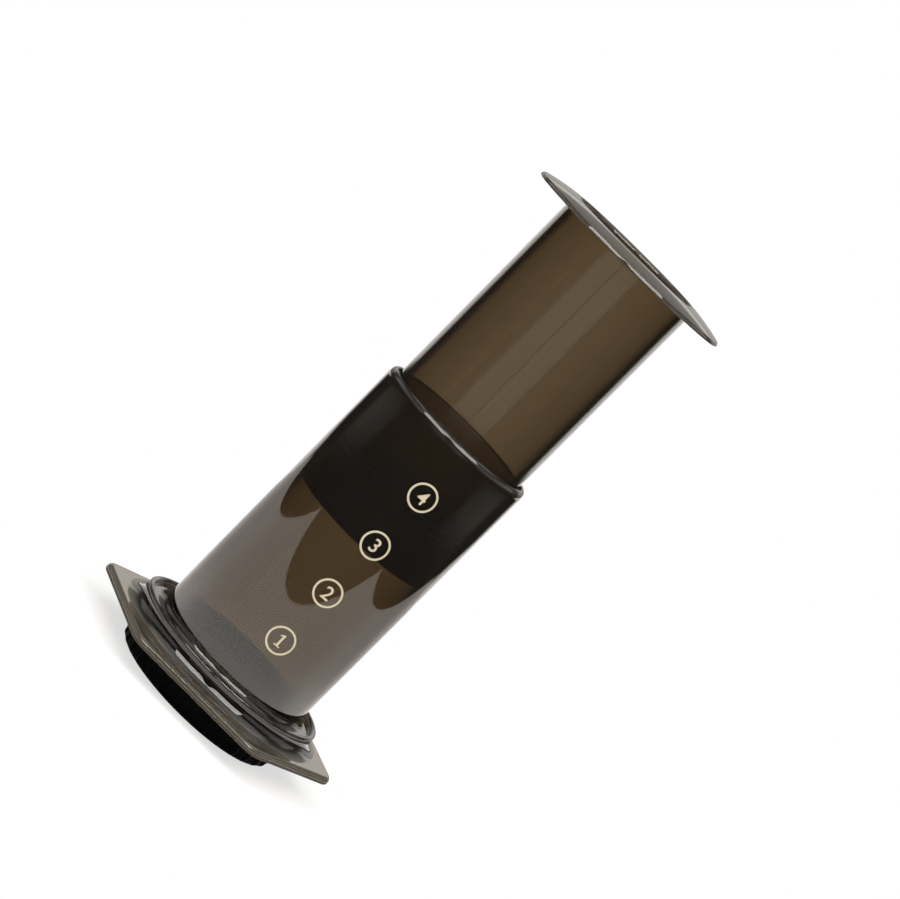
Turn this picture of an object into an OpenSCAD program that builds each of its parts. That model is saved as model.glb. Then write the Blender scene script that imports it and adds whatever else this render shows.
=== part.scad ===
// Hand coffee press: a brewing chamber, a hollow plunger with a rubber seal,
// and a twist-lock filter cap that holds a paper filter.
// Millimetres. The press stands on the foot of its filter cap at z = 0 and its axis is Z.

/* [Chamber] */
// Outer diameter of the chamber tube
chamber_od = 63.6; // [58:0.2:72]
// Wall of the chamber tube
chamber_wall = 2.2; // [1.6:0.1:3]
// Length of the chamber tube above its collar
chamber_len = 112.8; // [90:0.1:140]
// Share of the wall that the mouth's outer edge is rounded over
mouth_round = 0.65; // [0.5:0.05:0.7]
// Share of the wall that the mouth's inner edge is rounded over
mouth_lip = 0.25; // [0.1:0.05:0.28]
// Width of the hexagonal flange across its rounded corners
flange_span = 108; // [102:0.5:120]
// Corner radius of the flange
flange_corner_r = 8.5; // [5:0.5:12]
// Thickness of the flange
flange_t = 2.9; // [2.6:0.1:5]
// Height of the collar above the flange
collar_h = 6.8; // [6.6:0.1:9]
// Wall of the collar
collar_wall = 3.1; // [2.6:0.1:3.6]
// Width of the collar's raised rim
collar_rim_w = 2.2; // [2:0.1:2.6]
// Depth of the groove between the collar's rim and the tube
groove_depth = 1.8; // [1:0.1:2]
// Thickness of the shelf under that groove
shelf_t = 1.6; // [1.4:0.1:1.8]
// Radius of the edges of the collar's rim
collar_edge_r = 0.9; // [0.5:0.1:1]
// Radius of the sweep from the collar to the flange
collar_foot_r = 5; // [2:0.1:5.4]
// Radius of the fillet between the groove and the tube
shelf_fillet_r = 3; // [0.8:0.1:3.4]

/* [Twist lock] */
// Number of lugs on the chamber, and on the cap
lug_count = 6; // [4:1:6]
// Width of a lug round the axis, in degrees
lug_angle = 10; // [7:0.5:10]
// Thickness of a lug
lug_t = 1.8; // [1.2:0.1:2]
// How far a lug stands out from its wall
lug_depth = 2.3; // [1.8:0.1:2.6]
// Height that the cap drops in one full turn along the lug ramps
ramp_lead = 34.2; // [30:0.1:36]
// Height of a chamber lug above the flange's underside, at its middle
lug_lift = 0.7; // [0.5:0.1:1]

/* [Filter cap] */
// Wall of the cap
cap_wall = 1.4; // [1.2:0.1:2]
// Depth of the recess under the cap's floor
cap_foot_h = 3; // [2:0.1:4]
// Width of the foot ring
cap_foot_w = 3.6; // [2.4:0.1:5]
// Thickness of the perforated floor
cap_floor_t = 2; // [1.4:0.1:2.6]
// Height of the grip band below the flange
cap_grip_h = 10.1; // [8.6:0.1:12]
// Number of grip ribs
rib_count = 30; // [20:1:36]
// Radius of a grip rib
rib_r = 1.6; // [1.2:0.1:2]
// How far a grip rib stands out from the band
rib_proud = 0.75; // [0.4:0.05:0.9]
// Radius of the cap's lower edge
cap_edge_r = 1.6; // [0.8:0.1:2]
// Height of the foot of a grip rib
rib_lift = 1.6; // [1:0.1:2.4]
// Diameter of a filter hole
hole_d = 1.6; // [1:0.1:2]
// Rings of filter holes round the middle one
hole_rings = 5; // [3:1:5]
// Distance from one ring of holes to the next
hole_pitch = 5.2; // [4:0.1:5.4]

/* [Paper filter] */
// Thickness of the paper
paper_t = 0.2; // [0.1:0.05:0.4]

/* [Plunger] */
// Wall of the plunger tube
plunger_wall = 1.8; // [1.6:0.1:2.6]
// Length of the plunger from its top to the shoulder above the seal
plunger_len = 112.5; // [95:0.5:140]
// Diameter of the hand disc
disc_d = 84; // [76:0.5:96]
// Height of the hand disc, from its rim to its top
disc_h = 3.8; // [3.4:0.1:5]
// Thickness of the hand disc's shell
disc_t = 2.2; // [1.8:0.1:2.6]
// Thickness of the hand disc at its rim
rim_t = 1.2; // [0.8:0.1:1.6]
// Width of the disc's rounded shoulder, from its flat top to its rim
disc_edge_w = 8.5; // [6:0.1:9]
// Radius of the lip at the open top of the tube
lip_r = 0.8; // [0.4:0.1:1]
// How far the seal's neck steps in from the tube
neck_step = 3.15; // [2.8:0.05:3.6]
// Length of the neck that carries the seal
neck_len = 18.5; // [14:0.5:24]
// Wall of the neck
neck_wall = 2.3; // [1.8:0.1:3]
// Thickness of the plunger's floor and of its shoulder
plunger_floor_t = 2.5; // [1.8:0.1:3.5]
// Radius of the bead that holds the seal on the neck
bead_r = 0.9; // [0.5:0.1:1.2]
// Length of plunger tube that shows above the chamber
plunger_out = 81.7; // [30:0.1:90]

/* [Seal] */
// Thickness of the seal's base at its edge
seal_base_t = 3.4; // [2.6:0.1:5]
// Depth of the seal's conical face
seal_cone = 1.2; // [0.6:0.1:2]
// Radius of the lower wiping lip
lip_low_r = 2.2; // [1.6:0.1:2.6]
// Radius of the upper wiping lip
lip_high_r = 1.6; // [1.2:0.1:2]
// Depth of the waist between the two lips
waist_depth = 0.9; // [0.5:0.1:1.2]

/* [Clearances] */
// Gap between the seal's lips and the chamber's bore
slide_gap = 0.08; // [0.03:0.01:0.1]
// Gap between the plunger tube and the chamber's bore
plunger_gap = 1.05; // [0.6:0.05:1.4]
// Gap between the neck and the seal's socket
turn_gap = 0.08; // [0.03:0.01:0.1]
// Gap between the bead and its groove in the seal, and between the shoulder and the seal
bead_gap = 0.2; // [0.1:0.05:0.3]
// Gap between the chamber tube and the cap's wall
cap_gap = 0.6; // [0.4:0.05:1]
// Gap between a lug and the wall that it passes
lug_gap = 0.6; // [0.4:0.05:0.8]
// Gap between the ramps of two lugs
ramp_gap = 0.15; // [0.1:0.05:0.3]
// Gap between the cap's top edge and the shelf
cap_top_gap = 0.5; // [0.3:0.05:0.8]
// Gap between the grip band and the flange
grip_gap = 0.5; // [0.3:0.05:0.8]
// Gap under the paper, and between the paper and the chamber tube
paper_gap = 0.05; // [0.02:0.01:0.1]
// Gap round the edge of the paper
paper_edge_gap = 0.4; // [0.2:0.05:0.8]

/* [Hidden] */
$fn = 180;
EPS = 0.01;

// Radii, from the chamber tube outwards
tube_r = chamber_od / 2;
bore_r = tube_r - chamber_wall;
cap_in_r = tube_r + cap_gap;
cap_out_r = cap_in_r + cap_wall;
cap_lug_r = cap_out_r + lug_depth;
collar_in_r = cap_lug_r + lug_gap;
chamber_lug_r = cap_out_r + lug_gap;
collar_r = collar_in_r + collar_wall;
rim_in_r = collar_r - collar_rim_w;
paper_r = cap_in_r - paper_edge_gap;

// Radii, from the bore inwards
seal_r = bore_r - slide_gap;
plunger_r = bore_r - plunger_gap;
plunger_bore_r = plunger_r - plunger_wall;
neck_r = plunger_r - neck_step;
neck_bore_r = neck_r - neck_wall;
waist_r = seal_r - waist_depth;

// Heights of the cap and the chamber, from the foot upwards
floor_z = cap_foot_h;
floor_top = floor_z + cap_floor_t;
paper_z = floor_top + paper_gap;
tube_end_z = paper_z + paper_t + paper_gap;
flange_z = cap_grip_h + grip_gap;
flange_top = flange_z + flange_t;
collar_top = flange_top + collar_h;
shelf_top = collar_top - groove_depth;
cavity_top = shelf_top - shelf_t;
cap_top = cavity_top - cap_top_gap;
mouth_z = collar_top + chamber_len;

// Heights of the lugs at the middle of their width
ramp_per_degree = ramp_lead / 360;
chamber_lug_z = flange_z + lug_lift;
cap_lug_z = chamber_lug_z + lug_t + ramp_gap;
lug_slope = ramp_per_degree * 180 / (PI * chamber_lug_r);

// Heights of the plunger and its seal
disc_z = mouth_z + plunger_out;
disc_top = disc_z + disc_h;
shoulder_z = disc_top - plunger_len;
neck_end_z = shoulder_z - neck_len;
bead_z = shoulder_z - neck_len / 2;
seal_top = shoulder_z - bead_gap;
socket_z = neck_end_z - bead_gap;
seal_z = socket_z - seal_base_t;

// Hand disc: its rounded shoulder is an arc that leaves the flat top level
disc_r = disc_d / 2;
disc_flat_r = disc_r - disc_edge_w;
disc_drop = disc_h - rim_t;
disc_arc_r = (disc_edge_w * disc_edge_w + disc_drop * disc_drop) / (2 * disc_drop);
disc_arc_z = disc_h - disc_arc_r;

// A rectangle from one corner to the other, in a turned profile (x is the radius)
module span(r0, z0, r1, z1) {
  translate([r0, z0]) square([r1 - r0, z1 - z0]);
}

// A quarter circle's worth of convex corner to take off, with its arc centre at (r, z)
module corner_cut(r, z, radius) {
  difference() {
    span(r, z, r + radius + EPS, z + radius + EPS);
    translate([r, z]) circle(radius);
  }
}

// The web of a concave corner whose walls meet at (r, z), opening outwards and up
module corner_web(r, z, radius) {
  difference() {
    span(r - EPS, z - EPS, r + radius, z + radius);
    translate([r + radius, z + radius]) circle(radius);
  }
}

// A hexagonal plate with round corners, two of them on the X axis
module flange() {
  corner = flange_span / 2 - flange_corner_r;
  apothem = corner * cos(30) + flange_corner_r;
  translate([0, 0, flange_z]) linear_extrude(flange_t)
    for (turn = [0:60:300]) {
      rotate(turn) translate([corner, 0]) circle(flange_corner_r);
      rotate(turn + 30) translate([0, -corner / 2]) square([apothem, corner]);
    }
}

// One lug with ramped faces: a slanted bar across the wall from r0 to r1, centred at z
module lug(r0, r1, z) {
  half_w = chamber_lug_r * tan(lug_angle / 2);
  rise = lug_slope * half_w;
  intersection() {
    rotate([90, 0, 90]) linear_extrude(r1 + lug_depth)
      polygon([
        [-half_w, z - rise],
        [half_w, z + rise],
        [half_w, z + rise + lug_t],
        [-half_w, z - rise + lug_t]
      ]);
    rotate_extrude() span(r0, z - lug_t, r1, z + 3 * lug_t);
  }
}

module lug_ring(r0, r1, z) {
  for (k = [0:lug_count - 1]) rotate(k * 360 / lug_count) lug(r0, r1, z);
}

// Tube, collar and the annular space for the cap's wall, as one turned profile
module chamber_profile() {
  edge_r = chamber_wall * mouth_round;
  lip = chamber_wall * mouth_lip;
  difference() {
    span(bore_r, tube_end_z, tube_r, mouth_z);
    corner_cut(tube_r - edge_r, mouth_z - edge_r, edge_r);
    mirror([1, 0]) corner_cut(-bore_r - lip, mouth_z - lip, lip);
  }
  difference() {
    span(bore_r + EPS, flange_z, collar_r, collar_top);
    corner_cut(collar_r - collar_edge_r, collar_top - collar_edge_r, collar_edge_r);
    span(tube_r, shelf_top, rim_in_r, collar_top + EPS);
    mirror([1, 0]) corner_cut(-rim_in_r - collar_edge_r, collar_top - collar_edge_r, collar_edge_r);
    span(tube_r, flange_z - EPS, collar_in_r, cavity_top);
  }
  corner_web(collar_r, flange_top, collar_foot_r);
  corner_web(tube_r, shelf_top, shelf_fillet_r);
}

module chamber() color([0.36, 0.32, 0.28, 0.75]) {
  rotate_extrude() chamber_profile();
  difference() {
    flange();
    translate([0, 0, flange_z - EPS]) cylinder(r = collar_in_r, h = flange_t + 2 * EPS);
  }
  lug_ring(chamber_lug_r, collar_in_r + EPS, chamber_lug_z);
}

// Hand disc as a turned profile, with the rim's underside at z = 0
module disc_profile() {
  difference() {
    union() {
      span(plunger_bore_r, 0, disc_flat_r, disc_h);
      intersection() {
        translate([disc_flat_r, disc_arc_z]) circle(disc_arc_r);
        span(disc_flat_r, 0, disc_r, disc_h);
      }
    }
    span(plunger_r, -EPS, disc_flat_r, disc_h - disc_t);
    intersection() {
      translate([disc_flat_r, disc_arc_z]) circle(disc_arc_r - disc_t);
      span(disc_flat_r - EPS, -EPS, disc_r, disc_h);
    }
    mirror([1, 0]) corner_cut(-plunger_bore_r - lip_r, disc_h - lip_r, lip_r);
  }
}

module plunger_profile() {
  translate([0, disc_z]) disc_profile();
  span(plunger_bore_r, shoulder_z, plunger_r, disc_z + EPS);
  span(neck_bore_r, shoulder_z, plunger_r, shoulder_z + plunger_floor_t);
  span(neck_bore_r, neck_end_z, neck_r, shoulder_z + EPS);
  span(0, neck_end_z, neck_r, neck_end_z + plunger_floor_t);
  translate([neck_r, bead_z]) intersection() {
    circle(bead_r);
    span(-EPS, -bead_r, bead_r, bead_r);
  }
}

module plunger() color([0.40, 0.34, 0.27, 0.75])
  rotate_extrude() plunger_profile();

module seal_profile() {
  cone_r = seal_r - lip_low_r;
  lip_high_z = seal_top - lip_high_r;
  difference() {
    union() {
      polygon([[0, seal_z - seal_cone], [cone_r, seal_z], [cone_r, seal_top], [0, seal_top]]);
      span(0, seal_z + lip_low_r, waist_r, seal_top - lip_high_r);
      translate([cone_r, seal_z + lip_low_r]) circle(lip_low_r);
      translate([seal_r - lip_high_r, lip_high_z]) circle(lip_high_r);
      span(0, lip_high_z, seal_r - lip_high_r, seal_top);
    }
    span(-EPS, socket_z, neck_r + turn_gap, seal_top + EPS);
    translate([neck_r + turn_gap, bead_z]) circle(bead_r + bead_gap);
  }
}

module plunger_seal() color([0.06, 0.06, 0.06])
  rotate_extrude() seal_profile();

module cap_profile() {
  span(0, floor_z, cap_in_r + EPS, floor_top);
  difference() {
    union() {
      span(cap_in_r, 0, cap_out_r, cap_top);
      span(cap_out_r - cap_foot_w, 0, cap_out_r, floor_z + EPS);
    }
    mirror([0, 1]) corner_cut(cap_out_r - cap_edge_r, -cap_edge_r, cap_edge_r);
  }
}

module filter_holes() {
  drill = cap_floor_t + 2 * EPS;
  translate([0, 0, floor_z - EPS]) {
    cylinder(d = hole_d, h = drill, $fn = 24);
    for (ring = [1:hole_rings], k = [0:6 * ring - 1])
      rotate(k * 60 / ring) translate([ring * hole_pitch, 0]) cylinder(d = hole_d, h = drill, $fn = 24);
  }
}

module grip_ribs() {
  rib_h = cap_grip_h - rib_lift;
  for (k = [0:rib_count - 1])
    rotate(k * 360 / rib_count) translate([cap_out_r + rib_proud - rib_r, 0, rib_lift])
      intersection() {
        cylinder(r = rib_r, h = rib_h, $fn = 36);
        translate([rib_r - rib_proud - cap_wall / 2, -rib_r, 0]) cube([2 * rib_r, 2 * rib_r, rib_h]);
      }
}

module filter_cap() color([0.05, 0.05, 0.05]) {
  difference() {
    rotate_extrude() cap_profile();
    filter_holes();
  }
  grip_ribs();
  lug_ring(cap_out_r - cap_wall / 2, cap_lug_r, cap_lug_z);
}

module paper_filter() color([0.93, 0.91, 0.86])
  translate([0, 0, paper_z]) cylinder(r = paper_r, h = paper_t);

chamber();
plunger();
plunger_seal();
filter_cap();
paper_filter();
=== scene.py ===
"""Looks of the hand coffee press: smoked clear mouldings, black seal and cap, paper and printed numbers.

Laid out as an add-on and run as a script. Sizes are in metres in the part's own frame:
Z runs up the press's axis from the foot of its filter cap, and -Y faces the camera.
"""

import math

import bmesh
import bpy
from bpy.props import FloatProperty, FloatVectorProperty, IntProperty, PointerProperty
from bpy.types import Operator, Panel, PropertyGroup
from mathutils import Matrix, Vector


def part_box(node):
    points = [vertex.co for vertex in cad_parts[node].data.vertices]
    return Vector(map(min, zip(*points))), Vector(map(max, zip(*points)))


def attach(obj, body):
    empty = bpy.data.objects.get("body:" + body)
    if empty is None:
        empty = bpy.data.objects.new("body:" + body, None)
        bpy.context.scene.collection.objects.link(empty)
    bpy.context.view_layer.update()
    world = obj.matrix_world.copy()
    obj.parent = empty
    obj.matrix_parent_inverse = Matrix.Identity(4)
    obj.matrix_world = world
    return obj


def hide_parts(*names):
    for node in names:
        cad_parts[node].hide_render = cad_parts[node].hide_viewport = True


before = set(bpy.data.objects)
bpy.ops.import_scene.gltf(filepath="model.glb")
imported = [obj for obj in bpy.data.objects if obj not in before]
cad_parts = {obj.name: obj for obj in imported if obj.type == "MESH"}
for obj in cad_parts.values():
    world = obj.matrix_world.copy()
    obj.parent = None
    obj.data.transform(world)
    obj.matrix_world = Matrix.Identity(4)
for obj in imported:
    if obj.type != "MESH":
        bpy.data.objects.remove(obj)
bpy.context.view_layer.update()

bl_info = {
    "name": "Hand Coffee Press",
    "version": (1, 0, 0),
    "blender": (4, 5, 0),
    "location": "3D View > Sidebar > Press",
    "description": "Makes the pieces of a hand coffee press and the stage it stands on",
    "category": "Add Mesh",
}

MM = 0.001
FULL_TURN = 2.0 * math.pi
CHAMBER_LOW, CHAMBER_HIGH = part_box("chamber")
PLUNGER_LOW, PLUNGER_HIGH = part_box("plunger")
SEAL_LOW, SEAL_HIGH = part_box("plunger_seal")
_, CAP_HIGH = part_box("filter_cap")
PAPER_LOW, PAPER_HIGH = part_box("paper_filter")


# Sizes and colours

def length(name, description, default):
    """A length property in metres."""
    return FloatProperty(
        name=name, description=description, default=default, min=0.0, unit="LENGTH", precision=5
    )


def degrees(name, description, default):
    """An angle property, given in degrees."""
    return FloatProperty(
        name=name, description=description, default=math.radians(default), subtype="ANGLE"
    )


def amount(name, description, default, **kind):
    """A number property, with its unit or subtype where it has one."""
    return FloatProperty(name=name, description=description, default=default, min=0.0, **kind)


def count(name, description, default, low, high):
    """A whole number property."""
    return IntProperty(name=name, description=description, default=default, min=low, max=high)


def colour(name, description, default):
    """A colour property."""
    return FloatVectorProperty(
        name=name, description=description, default=default, size=3, min=0.0, max=1.0, subtype="COLOR"
    )


class PressSizes(PropertyGroup):
    """Sizes of the press that a user would change."""

    tube_radius: length("Chamber radius", "Outer radius of the chamber tube", 31.8 * MM)
    tube_wall: length("Chamber wall", "Wall of the chamber tube", 2.2 * MM)
    mouth_height: length("Mouth height", "Height of the chamber's mouth", CHAMBER_HIGH.z)
    tube_end: length("Tube end", "Height of the lower end of the chamber tube", CHAMBER_LOW.z)
    collar_height: length("Collar height", "Height of the top of the collar's rim", 20.3 * MM)
    collar_rim: length("Collar rim", "Width of the collar's raised rim", 2.2 * MM)
    groove_depth: length("Groove depth", "Depth of the groove between rim and tube", 1.8 * MM)
    shelf_thickness: length("Shelf thickness", "Thickness of the shelf under that groove", 1.6 * MM)
    mouth_edge: length("Mouth edge", "Width of the mouth's rounded outer edge", 1.65 * MM)
    mouth_roll: length("Mouth roll", "Height of that rounded edge", 2.9 * MM)
    mouth_lip: length("Mouth lip", "Radius of the mouth's inner edge", 0.4 * MM)
    collar_radius: length("Collar radius", "Outer radius of the collar", 39.8 * MM)
    collar_wall: length("Collar wall", "Wall of the collar", 3.1 * MM)
    collar_edge: length("Collar edge", "Radius of the edges of the collar's rim", 0.9 * MM)
    collar_foot: length("Collar foot", "Radius of the sweep from the collar to the flange", 5.0 * MM)
    shelf_fillet: length("Groove fillet", "Radius of the fillet between the groove and the tube", 3.0 * MM)
    flange_low: length("Flange underside", "Height of the flange's underside", 10.6 * MM)
    flange_thickness: length("Flange thickness", "Thickness of the hexagonal flange", 2.9 * MM)
    flange_reach: length("Flange reach", "Distance from the axis to a rounded corner", CHAMBER_HIGH.x)
    flange_corner: length("Flange corner", "Corner radius of the flange", 8.5 * MM)
    flange_edge: length("Flange edge", "Radius of the flange's upper edge", 1.6 * MM)
    lug_inner: length("Lug reach", "Distance from the axis to a chamber lug", 34.4 * MM)
    lug_outer: length("Cap lug reach", "Distance from the axis to the end of a cap lug", CAP_HIGH.x)
    lug_height: length("Lug height", "Height of a chamber lug's underside at its middle", 11.3 * MM)
    lug_thickness: length("Lug thickness", "Thickness of a lug", 1.8 * MM)
    lug_gap: length("Ramp gap", "Gap between the ramps of two lugs", 0.15 * MM)
    lug_lead: length("Ramp lead", "Drop of the cap in a full turn along the ramps", 34.2 * MM)
    plunger_radius: length("Plunger radius", "Outer radius of the plunger tube", 28.55 * MM)
    plunger_wall: length("Plunger wall", "Wall of the plunger tube", 1.8 * MM)
    plunger_floor: length("Plunger floor", "Thickness of the plunger's floor and shoulder", 2.5 * MM)
    shoulder_height: length("Shoulder height", "Height of the plunger's shoulder", 106.1 * MM)
    neck_radius: length("Neck radius", "Radius of the neck that carries the seal", 25.4 * MM)
    neck_wall: length("Neck wall", "Wall of the neck", 2.3 * MM)
    bead: length("Neck bead", "Radius of the bead on the neck", 0.9 * MM)
    disc_radius: length("Disc radius", "Radius of the hand disc", 42.0 * MM)
    disc_height: length("Disc height", "Height of the hand disc from rim to top", 3.8 * MM)
    disc_shell: length("Disc shell", "Thickness of the hand disc", 2.2 * MM)
    disc_rim: length("Disc rim", "Radius of the hand disc's lowest edge", 0.25 * MM)
    disc_band: length("Disc band", "Radius of the leaning band round the disc's rim", 3.0 * MM)
    disc_crease: length("Disc crease", "Radius of the crease between that band and the dome", 0.5 * MM)
    disc_lip: length("Disc lip", "Radius of the lip round the open top", 1.5 * MM)
    seal_radius: length("Seal radius", "Radius over the seal's lips", SEAL_HIGH.x)
    seal_base: length("Seal base", "Height of the edge of the seal's base", 84.0 * MM)
    seal_low_lip: length("Lower lip", "Radius of the seal's lower lip", 2.2 * MM)
    seal_high_lip: length("Upper lip", "Radius of the seal's upper lip", 1.6 * MM)
    seal_waist: length("Seal waist", "Depth of the seal's waist", 0.9 * MM)
    seal_socket: length("Seal socket", "Height of the floor of the seal's socket", 87.4 * MM)
    cap_radius: length("Cap radius", "Outer radius of the cap's band", 33.8 * MM)
    cap_wall: length("Cap wall", "Wall of the cap", 1.4 * MM)
    cap_floor: length("Cap floor", "Height of the underside of the cap's floor", 3.0 * MM)
    cap_floor_thickness: length("Cap floor thickness", "Thickness of the perforated floor", 2.0 * MM)
    cap_foot: length("Cap foot", "Width of the cap's foot ring", 3.6 * MM)
    cap_grip: length("Grip height", "Height of the top of the grip band", 10.1 * MM)
    cap_edge: length("Cap edge", "Radius of the cap's lower edge", 1.6 * MM)
    rib_proud: length("Rib height", "How far a grip rib stands out from the band", 0.75 * MM)
    rib_radius: length("Rib radius", "Radius of a grip rib", 1.6 * MM)
    rib_count: count("Grip ribs", "Number of grip ribs", 30, 8, 60)
    lug_count: count("Lugs", "Number of twist-lock lugs", 6, 3, 8)
    hole_rings: count("Hole rings", "Rings of filter holes", 5, 1, 8)
    hole_radius: length("Hole radius", "Radius of a filter hole", 0.8 * MM)
    hole_pitch: length("Hole pitch", "Distance between rings of holes", 5.2 * MM)
    mark_first: length("First number", "Height of the lowest number", 42.4 * MM)
    mark_step: length("Number step", "Distance from one number to the next", 22.95 * MM)
    mark_count: count("Numbers", "How many numbers are printed", 4, 1, 4)
    mark_radius: length("Number ring", "Outer radius of the ring round a number", 5.3 * MM)
    mark_line: length("Ring line", "Width of that ring's line", 0.75 * MM)
    mark_turn: degrees("Number turn", "Turn of the numbers about the axis, from the front", 13.4)


class PressColours(PropertyGroup):
    """Colours and tints of the press."""

    smoke: colour("Smoke tint", "Absorption colour of the smoked clear plastic", (0.42, 0.325, 0.155))
    chamber_density: amount("Chamber smoke", "Absorption of the chamber's plastic per metre", 1080.0)
    plunger_density: amount("Plunger smoke", "Absorption of the plunger's plastic per metre", 1080.0)
    flange_milk: colour("Flange milk", "Tint of the flange, which is a little milky", (0.80, 0.67, 0.50))
    disc_milk: colour("Disc milk", "Tint of the hand disc, which is a little milky", (0.66, 0.56, 0.43))
    cap_black: colour("Cap black", "Colour of the filter cap", (0.003, 0.003, 0.003))
    rubber_black: colour("Rubber black", "Colour of the seal", (0.010, 0.010, 0.010))
    paper_white: colour("Paper white", "Colour of the paper filter", (0.83, 0.80, 0.73))
    ink_cream: colour("Ink cream", "Colour of the printed numbers", (0.36, 0.325, 0.23))


class StageSettings(PropertyGroup):
    """Floor, light and camera."""

    table_half_width: length("Table half width", "Half the width of the white table", 0.42)
    table_front: length("Table front", "Distance from the press to the table's front edge", 0.31)
    table_back: length("Table back", "Distance from the press to the table's back edge", 0.42)
    softbox_turn: degrees("Softbox turn", "Turn of each softbox from the front", 29.0)
    softbox_rise: degrees("Softbox rise", "Angle of a softbox above the horizon", 42.0)
    softbox_distance: length("Softbox distance", "Distance from a softbox to what it faces", 0.95)
    softbox_aim: length("Softbox aim", "Height of what it faces", 0.10)
    softbox_width: length("Softbox width", "Width of a softbox", 0.62)
    softbox_depth: length("Softbox depth", "Length of its other side", 0.5)
    softbox_power: amount("Softbox power", "Power of a softbox", 8.0, unit="POWER")
    softbox_colour: colour("Softbox colour", "Colour of the softboxes", (1.0, 0.96, 0.90))
    camera_distance: length("Camera distance", "Distance from the camera to its target", 1.1026)
    camera_height: length("Target height", "Height of the camera's target", 0.1254)
    camera_side: length("Target offset", "Distance of the target from the axis, to the right", 0.0024)
    camera_pitch: degrees("Pitch", "How far the camera looks down", 7.3)
    camera_roll: degrees("Roll", "Turn of the camera about its view", 44.8)
    camera_lens: amount("Lens", "Focal length", 128.0, subtype="DISTANCE_CAMERA")


# Node trees

class Desk:
    """Short calls for building a node tree."""

    def __init__(self, tree):
        self.tree = tree

    def feed(self, socket, value):
        """Links a socket, or sets a plain value."""
        if isinstance(value, bpy.types.NodeSocket):
            self.tree.links.new(value, socket)
        else:
            socket.default_value = value

    def add(self, kind, inputs=None, **settings):
        """A node with its settings made, and then its inputs fed by label or number."""
        node = self.tree.nodes.new(kind)
        for key, value in settings.items():
            setattr(node, key, value)
        for key, value in (inputs or {}).items():
            self.feed(node.inputs[key], value)
        return node

    def make(self, kind, inputs=None, **settings):
        """The first output of such a node."""
        return self.add(kind, inputs, **settings).outputs[0]

    def math(self, operation, *values):
        return self.make("ShaderNodeMath", dict(enumerate(values)), operation=operation)

    def less(self, a, b):
        return self.math("SUBTRACT", a, b)

    def product(self, value, *others):
        for other in others:
            value = self.math("MULTIPLY", value, other)
        return value

    def total(self, value, *others):
        for other in others:
            value = self.math("ADD", value, other)
        return value

    def ramp(self, value, start, end, low, high, shape="SMOOTHSTEP"):
        """Runs from low to high as a value runs from start to end."""
        inputs = {"Value": value, "From Min": start, "From Max": end, "To Min": low, "To Max": high}
        return self.make("ShaderNodeMapRange", inputs, interpolation_type=shape)

    def band(self, value, rise, fall, level=1.0):
        """A level that sets in over one pair of values and ends over another."""
        return self.product(self.ramp(value, *rise, 0.0, level), self.ramp(value, *fall, 1.0, 0.0))

    def vector(self, *parts):
        return self.make("ShaderNodeCombineXYZ", dict(enumerate(parts)))

    def split(self, vector):
        return self.add("ShaderNodeSeparateXYZ", {0: vector}).outputs

    def coordinates(self, kind="Object"):
        return self.add("ShaderNodeTexCoord").outputs[kind]

    def facing(self, direction):
        """How far a direction runs to the back of the room, from -1 to 1, and how far to either side."""
        flat = self.make("ShaderNodeVectorMath", {0: direction, 1: (1.0, 1.0, 0.0)}, operation="MULTIPLY")
        x, y, _ = self.split(self.make("ShaderNodeVectorMath", {0: flat}, operation="NORMALIZE"))
        return y, self.math("ABSOLUTE", x)

    def mix(self, share, first, second):
        """Mixes two shaders."""
        return self.make("ShaderNodeMixShader", {0: share, 1: first, 2: second})


WELD = 0.002 * MM
HEXAGON_SIDES = 6.0
HOLE_SIDES = 20
RING_STEP = 6


def socket_label(key):
    """The label of a tree's input, from its name in the script."""
    return key.replace("_", " ").title()


def shape_tree(name, **inputs):
    """A Geometry Nodes tree with its inputs and a material. Returns its desk and its input sockets."""
    tree = bpy.data.node_groups.new(name, "GeometryNodeTree")
    kinds = {"geometry": "Geometry", **inputs, "material": "Material"}
    for key, kind in kinds.items():
        tree.interface.new_socket(socket_label(key), in_out="INPUT", socket_type="NodeSocket" + kind)
    tree.interface.new_socket("Geometry", in_out="OUTPUT", socket_type="NodeSocketGeometry")
    desk = Desk(tree)
    return desk, desk.add("NodeGroupInput").outputs


def close_tree(desk, geometry, material):
    """Ends a tree in Realize Instances and Set Material."""
    realized = desk.make("GeometryNodeRealizeInstances", {"Geometry": geometry})
    finished = desk.make("GeometryNodeSetMaterial", {"Geometry": realized, "Material": material})
    desk.add("NodeGroupOutput", {"Geometry": finished})
    return desk.tree


def hexagon_radius(desk, angle, corner, rounding):
    """Distance from the axis to a round-cornered hexagon. Corners lie at 0, 60 and so on degrees."""
    sixth = FULL_TURN / HEXAGON_SIDES
    half = sixth / 2.0
    folded = desk.less(desk.math("FLOORED_MODULO", desk.total(angle, half), sixth), half)
    off = desk.math("ABSOLUTE", folded)
    flat = desk.total(desk.product(corner, math.cos(half)), rounding)
    side = desk.math("DIVIDE", flat, desk.math("COSINE", desk.less(half, off)))
    across = desk.product(corner, desk.math("SINE", off))
    reach = desk.less(desk.product(rounding, rounding), desk.product(across, across))
    along = desk.product(corner, desk.math("COSINE", off))
    bend = desk.total(along, desk.math("SQRT", desk.math("MAXIMUM", reach, 0.0)))
    run = desk.total(corner, desk.product(rounding, math.cos(half)))
    rise = desk.product(rounding, math.sin(half))
    on_bend = desk.math("LESS_THAN", off, desk.math("ARCTAN2", rise, run))
    return desk.total(side, desk.product(desk.less(bend, side), on_bend))


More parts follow.
